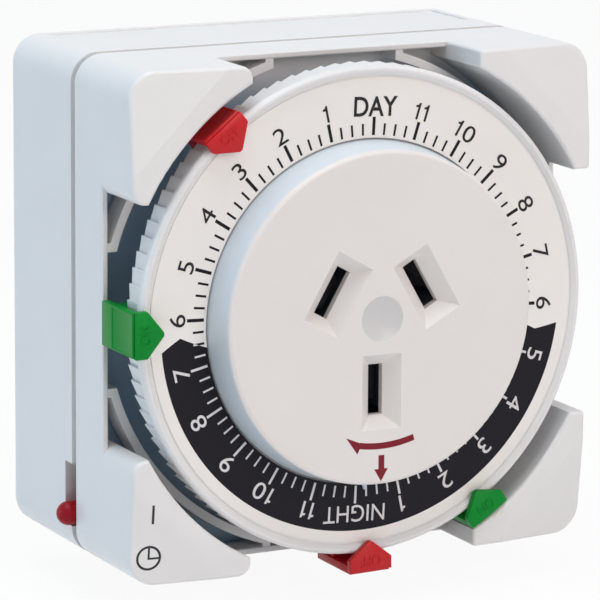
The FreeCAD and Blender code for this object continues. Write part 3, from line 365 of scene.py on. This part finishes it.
red_plastic = plain_moulded("red_plastic", (0.56, 0.010, 0.014, 1.0), shine=0.30, dirt=0.1)
switch_red = plain_moulded("switch_red", (0.32, 0.004, 0.010, 1.0), shine=0.18, dirt=0.1)
green_plastic = plain_moulded("green_plastic", (0.003, 0.25, 0.030, 1.0), shine=0.12, dirt=0.1)
print("metals and inner plastics ready")

# %% [markdown]
# ## The printed dial
#
# The dial's label has a tick for each quarter of an hour and a longer one for each hour, black
# on white by day and white on a black band by night. Ticks are a repeating angle, so one sum
# draws all 96: the angle is scaled until a tick is one unit apart, and its distance to the
# nearest whole number, times the radius, is the distance to the nearest tick.

# %% Ticks and the night band
TAU = 2.0 * math.pi
DIAL_TURN = math.radians(2.5)   # from noon straight up, clockwise
TICK_START = 24.75 * MM         # radii, from the middle of the dial
QUARTER_END = 26.4 * MM
HOUR_END = 27.3 * MM
QUARTER_WIDTH = 0.33 * MM
HOUR_WIDTH = 0.48 * MM
WHITE_THINNER = 0.12 * MM       # white ink spreads less, so its hour marks are thinner
BAND_OUTER = 31.2 * MM
BAND_LEFT = (87.6, 28.3, 1070.0)     # degrees from the bottom, radius of the point in mm,
BAND_RIGHT = (-79.9, 27.8, 650.0)    # and degrees for each metre away from that radius
LABEL_WHITE = (0.88, 0.85, 0.81, 1.0)
BLACK_INK = (0.006, 0.005, 0.009, 1.0)
WHITE_INK = (0.70, 0.68, 0.68, 1.0)


def tick_marks(radius, angle, count, inner, outer, width):
    """1 on marks spaced evenly round the dial."""
    step = TAU / count
    turns = (angle - DIAL_TURN) / step + 0.5
    off = abs(turns.fraction() - 0.5) * step * radius
    return off.below(width / 2.0) * radius.beyond(inner) * radius.below(outer)


def band_end(radius, degrees, point, steepness):
    """The angle where the night band stops, which falls back evenly on both sides of a radius."""
    return math.radians(degrees) - abs(radius - point * MM) * math.radians(steepness)


def label_finish():
    finish, place, base, gloss, height = moulded("dial_print", LABEL_WHITE, 0.42, dirt=0.2)
    x, z = place[0], place[2]
    radius = (x * x + z * z).root()
    angle = finish.node("ShaderNodeMath", {"operation": "ARCTAN2"}, {0: x, 1: z})
    from_bottom = finish.node("ShaderNodeMath", {"operation": "ARCTAN2"}, {0: -x, 1: -z})
    within = from_bottom.below(band_end(radius, *BAND_LEFT), 0.001)
    within = within * from_bottom.beyond(band_end(radius, *BAND_RIGHT), 0.001)
    band = within * radius.below(BAND_OUTER)
    finer = band * WHITE_THINNER
    hours = tick_marks(radius, angle, 24, TICK_START, HOUR_END, HOUR_WIDTH - finer)
    quarters = tick_marks(radius, angle, 96, TICK_START, QUARTER_END, QUARTER_WIDTH - finer * 0.5)
    ticks = hours | quarters
    printed = finish.mix(band, base, BLACK_INK)
    printed = finish.mix(ticks, printed, finish.mix(band, BLACK_INK, WHITE_INK))
    return finish.surface(Base_Color=printed, Roughness=gloss, Normal=height,
                          Specular_IOR_Level=0.18)


dial_print = label_finish()
print("ticks and band ready")

# %% [markdown]
# ## Numbers on the dial
#
# The hours run backwards, because the dial turns clockwise past its pointer. Each word is typed
# as text, turned into a mesh, laid on the label with its top outwards, and joined with the others
# of its colour. A small thickness closes each letter.

# %% A typed word, and a drawn figure
CAPITAL = 0.69                 # height of a capital in the typeface, where its size is 1
FIGURE_WIDTH = 1.22            # the dial's figures are wider than the typeface's
WORD_WIDTH = 0.93
DAY_WIDTH = 0.98
DAY_HEIGHT = 1.12
DAY_BOLD = 0.022
ONE_HEIGHT = 2.8
ONE = [(-0.19, 0.0), (0.20, 0.0), (0.20, ONE_HEIGHT), (-0.08, ONE_HEIGHT), (-0.24, 2.42),
       (-0.66, 2.25), (-0.66, 1.98), (-0.19, 1.98)]


def typed(word, wide, bold=0.0, tall=1.0):
    """A word lying flat round its middle, a capital 1 unit high and its ink 1 unit thick."""
    bpy.ops.object.select_all(action="DESELECT")
    bpy.ops.object.text_add()
    text = bpy.context.object
    text.data.body = word
    text.data.align_x = "CENTER"
    text.data.size = 1.0 / CAPITAL
    text.data.offset = bold
    text.data.extrude = 0.5
    text.data.resolution_u = 4
    bpy.ops.object.convert(target="MESH")
    text = bpy.context.object
    to_the_middle = Matrix.Translation((0.0, -0.5, 0.0))
    text.data.transform(Matrix.Diagonal((wide, tall, 1.0, 1.0)) @ to_the_middle)
    return text


def drawn_one(offset):
    """A figure one with a flag, drawn as a flat curve, because the typeface has a plain bar."""
    outline = bpy.data.curves.new("one", "CURVE")
    outline.dimensions = "2D"
    outline.fill_mode = "BOTH"
    outline.extrude = 0.5
    line = outline.splines.new("POLY")
    line.points.add(len(ONE) - 1)
    for point, (across, up) in zip(line.points, ONE):
        point.co = (across / ONE_HEIGHT + offset, up / ONE_HEIGHT - 0.5, 0.0, 1.0)
    line.use_cyclic_u = True
    one = bpy.data.objects.new("one", outline)
    bpy.context.scene.collection.objects.link(one)
    bpy.ops.object.select_all(action="DESELECT")
    one.select_set(True)
    bpy.context.view_layer.objects.active = one
    bpy.ops.object.convert(target="MESH")
    return bpy.context.object


def figures(word):
    """The glyphs of one word, each set to the spacing of the dial's own figures."""
    if word == "11":
        return [drawn_one(-0.24), drawn_one(0.33)]
    if word == "10":
        zero = typed("0", FIGURE_WIDTH)
        zero.data.transform(Matrix.Translation((0.36, 0.0, 0.0)))
        return [drawn_one(-0.40), zero]
    if word == "1":
        return [drawn_one(0.05)]
    if word == "DAY":
        return [typed(word, DAY_WIDTH, DAY_BOLD, DAY_HEIGHT)]
    return [typed(word, WORD_WIDTH if len(word) > 1 else FIGURE_WIDTH)]


print("outline of a one:", len(ONE), "points")

# %% Words laid in a ring, and their ink
def joined(pieces, name):
    """Join meshes into the first one."""
    bpy.ops.object.select_all(action="DESELECT")
    for piece in pieces:
        piece.select_set(True)
    bpy.context.view_layer.objects.active = pieces[0]
    bpy.ops.object.join()
    whole = bpy.context.object
    whole.name = name
    return whole


def laid(piece, angle, radius, height, face, thickness):
    """Stand a flat word up on a face that looks to the front, with its top away from the middle."""
    stand_up = Matrix.Rotation(math.radians(90.0), 4, "X")
    size = Matrix.Diagonal((height, height, thickness, 1.0))
    out = Matrix.Translation((0.0, face - thickness / 2.0, radius))
    piece.data.transform(Matrix.Rotation(angle, 4, "Y") @ out @ stand_up @ size)


def print_ink(name, colour):
    finish = Finish(name)
    vector = finish.place()[3]
    patchy = finish.noise(vector, 1500.0, 2.0)
    lighter = tuple(channel + 0.02 for channel in colour[:3]) + (1.0,)
    base = finish.mix(patchy.beyond(0.55, 0.3), colour, lighter)
    return finish.surface(Base_Color=base, Roughness=0.42 + patchy * 0.1, Specular_IOR_Level=0.25)


black_ink = print_ink("black_ink", BLACK_INK)
white_ink = print_ink("white_ink", WHITE_INK)
print("inks:", black_ink.name, white_ink.name)

# %% The hours by day and by night
LABEL_FACE = min(vertex.co.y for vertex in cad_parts["dial_label"].data.vertices)
NUMBER_RADIUS = 28.75 * MM
NUMBER_HEIGHT = 2.38 * MM
INK_THICKNESS = 0.04 * MM
HOUR_STEP = math.radians(15.0)
day_words = ["DAY", "11", "10", "9", "8", "7", "6"]
night_words = ["5", "4", "3", "2", "1", "NIGHT", "11", "10", "9", "8", "7"]
late_words = ["6", "5", "4", "3", "2", "1"]


def hour_words(words, first, name, ink):
    """One piece with the words from a given hour on, which turns with the dial."""
    made = []
    for index, word in enumerate(words):
        angle = DIAL_TURN + HOUR_STEP * (first + index)
        for glyph in figures(word):
            laid(glyph, angle, NUMBER_RADIUS, NUMBER_HEIGHT, LABEL_FACE, INK_THICKNESS)
            made.append(glyph)
    whole = joined(made, name)
    whole.data.materials.clear()
    whole.data.materials.append(ink)
    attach(whole, "dial")
    return whole


day_numbers = hour_words(day_words, 0, "day_numbers", black_ink)
night_numbers = hour_words(night_words, 7, "night_numbers", white_ink)
late_numbers = hour_words(late_words, 18, "late_numbers", black_ink)
print("hours typed:", len(day_words) + len(night_words) + len(late_words))

# %% [markdown]
# ## Prints and painted shade on the dome and on the case
#
# A red curved arrow shows which way the dial turns, and a straight one points at the time now. By
# the override button a line means always on and a clock means timed. They are pad printed, so
# they have no thickness: a sum on the point's place draws each one in the plastic's own colour.
# The same kind of sum paints shade: a cooler, darker white on the side of the dome, a greyer
# disc in its middle dish, and a blue grey on the recess floor behind the dial, where little light
# reaches it.

# %% Red arrows on the dome, and its painted shade
def line_side(x, z, start, end):
    """How far a point lies to the left of a line from start to end, in metres."""
    length = math.hypot(end[0] - start[0], end[1] - start[1])
    across = (-(end[1] - start[1]) / length * MM, (end[0] - start[0]) / length * MM)
    return ((x - start[0] * MM) * across[0] + (z - start[1] * MM) * across[1]) / MM


def triangle(x, z, corners):
    """1 inside three corners given in millimetres, anticlockwise seen from the front."""
    first, second, third = corners
    inside = line_side(x, z, first, second).beyond(0.0)
    inside = inside * line_side(x, z, second, third).beyond(0.0)
    return inside * line_side(x, z, third, first).beyond(0.0)


def rectangle(x, z, x0, x1, z0, z1):
    return x.beyond(x0 * MM) * x.below(x1 * MM) * z.beyond(z0 * MM) * z.below(z1 * MM)


DOME_FACE = -solid_box[0][1]              # the dome is the frontmost solid
DOME_WHITE = (0.81, 0.775, 0.745, 1.0)
DOME_SIDE_SHADE = (0.68, 0.74, 0.79, 1.0)       # painted shade: the side of the dome gets a cooler, darker white than its face
ARROW_RED = (0.20, 0.002, 0.014, 1.0)
CURVE_INNER = 17.48 * MM
CURVE_OUTER = 18.38 * MM
CURVE_START = math.radians(-16.6)         # from straight down
CURVE_END = math.radians(11.0)
CURVE_HEAD = [(-5.5, -16.3), (-3.7, -18.8), (-3.0, -17.35)]
POINTER_SHAFT = (-0.40, 0.53, -21.3, -19.25)
POINTER_HEAD = [(-1.05, -21.2), (0.03, -23.0), (1.1, -21.2)]
DISH_RADIUS = 3.2 * MM
SLOTS_REACH = 20.0 * MM                   # the slots lie inside this radius, the side outside it
EDGE_ROUND = 0.7 * MM
INK_REACH = 0.4 * MM                      # how far behind the face the prints may show


def dome_finish():
    finish, place, base, gloss, height = moulded("dome_print", DOME_WHITE, 0.30)
    x, y, z = place[:3]
    radius = (x * x + z * z).root()
    depth = -y
    # Painted shade: outside the slots and behind the rounded edge of the face, the side of the dome
    # is mixed towards a cooler, darker white.
    side_in_painted_shade = depth.below(DOME_FACE - EDGE_ROUND, 0.0008) * radius.beyond(SLOTS_REACH, 0.0005)
    base = finish.mix(side_in_painted_shade, base, DOME_SIDE_SHADE)
    from_bottom = finish.node("ShaderNodeMath", {"operation": "ARCTAN2"}, {0: -x, 1: -z})
    along = from_bottom.beyond(CURVE_START, 0.002) * from_bottom.below(CURVE_END, 0.002)
    curve = radius.beyond(CURVE_INNER) * radius.below(CURVE_OUTER) * along
    arrows = curve | triangle(x, z, CURVE_HEAD)
    arrows = arrows | rectangle(x, z, *POINTER_SHAFT) | triangle(x, z, POINTER_HEAD)
    arrows = arrows * depth.beyond(DOME_FACE - INK_REACH, 0.00001)
    printed = finish.mix(arrows, base, ARROW_RED)
    # Painted shade: the shallow dish in the middle of the face is mixed towards grey, because its
    # hollow looks darker.
    dish_shade = radius.below(DISH_RADIUS, 0.0001) * 0.45
    printed = finish.mix(dish_shade, printed, (0.45, 0.47, 0.50, 1.0))
    return finish.surface(Base_Color=printed, Roughness=gloss, Normal=height,
                          Specular_IOR_Level=0.30)


dome_print = dome_finish()
print("arrows printed")

# %% Marks on the case, and the painted shade in its recess
BAR = (-32.72, -32.36, -26.6, -23.9)      # left, right, bottom and top, in millimetres
CLOCK_X = -32.9 * MM
CLOCK_Z = -31.5 * MM
CLOCK_RADIUS = 1.62 * MM
CLOCK_LINE = 0.17 * MM                    # half the width of the ring
HAND_UP = (-33.06, -32.76, -31.6, -30.0)
HAND_RIGHT = (-33.06, -31.4, -31.74, -31.44)
TOWER_FRONT = 38.0 * MM                   # the marks are only on faces in front of this
RECESS_REACH = 34.9 * MM
RECESS_CORNER = 46.0 * MM
RECESS_BACK = 25.0 * MM
RECESS_FRONT = 27.3 * MM
RECESS_TOP = 30.0 * MM                    # light from above reaches the recess past this height
RECESS_SHADE_GREY = (0.22, 0.34, 0.46, 1.0)


def case_finish():
    """Printed marks by the override button, and painted shade on the floor of the recess."""
    finish, place, base, gloss, height = moulded("case_print", WHITE)
    x, y, z = place[:3]
    depth = -y
    from_clock_x = x - CLOCK_X
    from_clock_z = z - CLOCK_Z
    clock_radius = (from_clock_x * from_clock_x + from_clock_z * from_clock_z).root()
    marks = abs(clock_radius - CLOCK_RADIUS).below(CLOCK_LINE)
    for corners in (BAR, HAND_UP, HAND_RIGHT):
        marks = marks | rectangle(x, z, *corners)
    printed = finish.mix(marks * depth.beyond(TOWER_FRONT, 0.00001), base, BLACK_INK)
    # Painted shade: the floor of the recess behind the dial is mixed towards blue grey, less near
    # the top, where light from above reaches it.
    in_recess = (abs(x) | abs(z)).below(RECESS_REACH, 0.0002)
    in_recess = in_recess * depth.beyond(RECESS_BACK) * depth.below(RECESS_FRONT, 0.0012)
    in_recess = in_recess * (x * x + z * z).root().below(RECESS_CORNER, 0.0005)
    share = in_recess * (0.92 - z.beyond(RECESS_TOP, 0.006) * 0.85)
    shaded = finish.mix(share, printed, RECESS_SHADE_GREY)
    return finish.surface(Base_Color=shaded, Roughness=gloss, Normal=height)


case_print = case_finish()
print("case marks printed")

# %% [markdown]
# ## Tappets
#
# A tappet is one small moulding that clips over the dial's edge: a pentagon head that points to
# the hour, a side plate with a sunk panel, a waist in the groove between them, and a leg that
# hooks in behind. It is modelled once at the top of the dial, where a step along X, Y or Z is
# easy to think about, from boxes that are extruded, inset and bevelled. Each copy has its word
# raised on the head, and is then turned to its own place round the dial.

# %% One tappet, with its head
# All in millimetres: X across, Z outwards from the middle of the dial, depth towards the front.
TAPPET_HALF = 3.3
HEAD_BACK = 41.15
HEAD_FRONT = 42.10
HEAD_BASE = 35.6
SHOULDER = 33.8
POINT = 31.3
POINT_SHARE = 0.07             # how wide the point is, against the head


def box(x0, x1, z0, z1, back, front):
    """A box between two places across the front and two depths, with none of its faces chosen."""
    bpy.ops.object.select_all(action="DESELECT")
    middle = ((x0 + x1) / 2.0 * MM, -(back + front) / 2.0 * MM, (z0 + z1) / 2.0 * MM)
    size = ((x1 - x0) * MM, (front - back) * MM, (z1 - z0) * MM)
    bpy.ops.mesh.primitive_cube_add(size=1.0, location=middle, scale=size)
    bpy.ops.object.transform_apply(location=True, rotation=True, scale=True)
    made = bpy.context.object
    bpy.ops.object.mode_set(mode="EDIT")
    bpy.ops.mesh.select_mode(type="FACE")
    bpy.ops.mesh.select_all(action="DESELECT")
    bpy.ops.object.mode_set(mode="OBJECT")
    return made


def choose(piece, wanted):
    """Go into edit mode with the faces chosen whose middle and normal pass the test."""
    for face in piece.data.polygons:
        face.select = wanted(face.center / MM, face.normal)
    bpy.ops.object.mode_set(mode="EDIT")


def softened(piece, width, segments=2):
    """Round all the sharp edges of a piece a little, as a mould does."""
    bpy.ops.object.mode_set(mode="OBJECT")
    bevel = piece.modifiers.new("soft edges", "BEVEL")
    bevel.width = width * MM
    bevel.segments = segments
    bevel.limit_method = "ANGLE"
    bevel.angle_limit = math.radians(30.0)
    bpy.context.view_layer.objects.active = piece
    bpy.ops.object.modifier_apply(modifier=bevel.name)
    return piece


def tappet_head():
    """A flat block drawn out to a point at its inner end."""
    head = box(-TAPPET_HALF, TAPPET_HALF, SHOULDER, HEAD_BASE, HEAD_BACK, HEAD_FRONT)
    choose(head, lambda middle, normal: normal.z < -0.9)
    inwards = {"value": (0.0, 0.0, (POINT - SHOULDER) * MM)}
    bpy.ops.mesh.extrude_region_move(TRANSFORM_OT_translate=inwards)
    bpy.ops.transform.resize(value=(POINT_SHARE, 1.0, 1.0))
    return softened(head, 0.16)


head = tappet_head()
print("head faces:", len(head.data.polygons))

# %% Its side plate
PLATE_HALF = 3.1
PLATE_INNER = 34.75
PLATE_OUTER = 35.9
PLATE_BACK = 31.7
PLATE_FRONT = 41.6
PANEL_BACK = 34.7
PANEL_EDGE = 0.25
PANEL_SLOPE = 0.10
PANEL_SINK = 0.14


def tappet_plate():
    """A plate whose outer side has a sunk panel in its front part."""
    plate = box(-PLATE_HALF, PLATE_HALF, PLATE_INNER, PLATE_OUTER, PLATE_BACK, PLATE_FRONT)
    bpy.ops.object.mode_set(mode="EDIT")
    bpy.ops.mesh.select_all(action="SELECT")
    bpy.ops.mesh.bisect(plane_co=(0.0, -PANEL_BACK * MM, 0.0), plane_no=(0.0, 1.0, 0.0))
    bpy.ops.object.mode_set(mode="OBJECT")
    choose(plate, lambda middle, normal: normal.z > 0.9 and -middle.y > PANEL_BACK)
    bpy.ops.mesh.inset(thickness=PANEL_EDGE * MM, depth=0.0)
    bpy.ops.mesh.inset(thickness=PANEL_SLOPE * MM, depth=-PANEL_SINK * MM)
    return softened(plate, 0.10)


plate = tappet_plate()
print("plate faces:", len(plate.data.polygons))

# %% Its waist and leg, and the whole
WAIST_BACK = 40.8
WAIST_FRONT = 41.75
LEG_HALF = 2.8
LEG_INNER = 32.4
LEG_OUTER = 35.7
LEG_BACK = 32.6
LEG_FRONT = 36.0
waist = box(-PLATE_HALF, PLATE_HALF, PLATE_INNER, HEAD_BASE, WAIST_BACK, WAIST_FRONT)
leg = box(-LEG_HALF, LEG_HALF, LEG_INNER, LEG_OUTER, LEG_BACK, LEG_FRONT)
pattern = joined([head, plate, softened(waist, 0.06, 1), softened(leg, 0.15)], "tappet")
print("tappet faces:", len(pattern.data.polygons))

# %% Words on the heads, and a copy for each place
# Name, degrees clockwise from the top, how far it stands out past the pattern, and its word.
TAPPETS = [("tappet_on_left", -90.0, 0.0, "ON"), ("tappet_off_top", -39.3, 0.0, "OFF"),
           ("tappet_on_right", 147.3, 1.1, "ON"), ("tappet_off_bottom", 178.9, 1.3, "OFF")]
WORD_RADIUS = 34.15 * MM
WORD_HEIGHT = 1.55 * MM
WORD_THICKNESS = 0.16 * MM
WORD_FACE = (0.05 - HEAD_FRONT) * MM      # the letters are rooted a little inside the head

for name, degrees, outside, word in TAPPETS:
    copy = bpy.data.objects.new(name + "_moulding", pattern.data.copy())
    bpy.context.scene.collection.objects.link(copy)
    raised = typed(word, 0.80)
    laid(raised, 0.0, WORD_RADIUS, WORD_HEIGHT, WORD_FACE, WORD_THICKNESS)
    whole = joined([copy, raised], name + "_moulding")
    outwards = Matrix.Translation((0.0, 0.0, outside * MM))
    whole.data.transform(Matrix.Rotation(math.radians(degrees), 4, "Y") @ outwards)
    whole.data.materials.clear()
    whole.data.materials.append(green_plastic if word == "ON" else red_plastic)
    bpy.ops.object.shade_smooth_by_angle(angle=math.radians(35.0))
    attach(whole, name)
    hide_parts(name)
bpy.data.objects.remove(pattern)
print("tappets placed:", len(TAPPETS))

# %% [markdown]
# ## The solids
#
# Every packed solid gets one of the finishes above, by its name. Most of them are inside the case
# and never show here, but whoever opens the part sees each one, so it looks like what it is. One
# dictionary keeps the choice in one place, and what isn't in it is plated steel.

# %% Give every solid its finish
finish_of = {
    "rear_case": white_plastic, "front_case": case_print, "socket_dome": dome_print,
    "dial_ring": white_plastic, "dial_label": dial_print, "override_slide": switch_red,
    "tappet_on_left": green_plastic, "tappet_on_right": green_plastic,
    "tappet_off_top": red_plastic, "tappet_off_bottom": red_plastic,
    "contact_carrier": inner_plastic, "pin_base": inner_plastic, "pin_sleeves": sleeve_plastic,
    "ring_gear": gear_plastic, "idler_gear": gear_plastic, "trip_lever": gear_plastic,
    "motor_coil": coil_tape, "motor_rotor": magnet_black, "motor_leads": lead_blue,
    "fixed_contact_tip": silver, "moving_contact_tip": silver,
    "active_contact": tinned, "neutral_contact": tinned, "earth_contact": tinned,
}
for name in ("active_pin", "neutral_pin", "earth_pin", "neutral_link", "earth_link", "active_feed",
             "load_strap", "switch_leaf", "output_bush", "output_pinion"):
    finish_of[name] = brass
for name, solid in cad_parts.items():
    solid.data.materials.clear()
    solid.data.materials.append(finish_of.get(name, steel))
print("finished solids:", len(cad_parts))

# %% [markdown]
# ## Finish
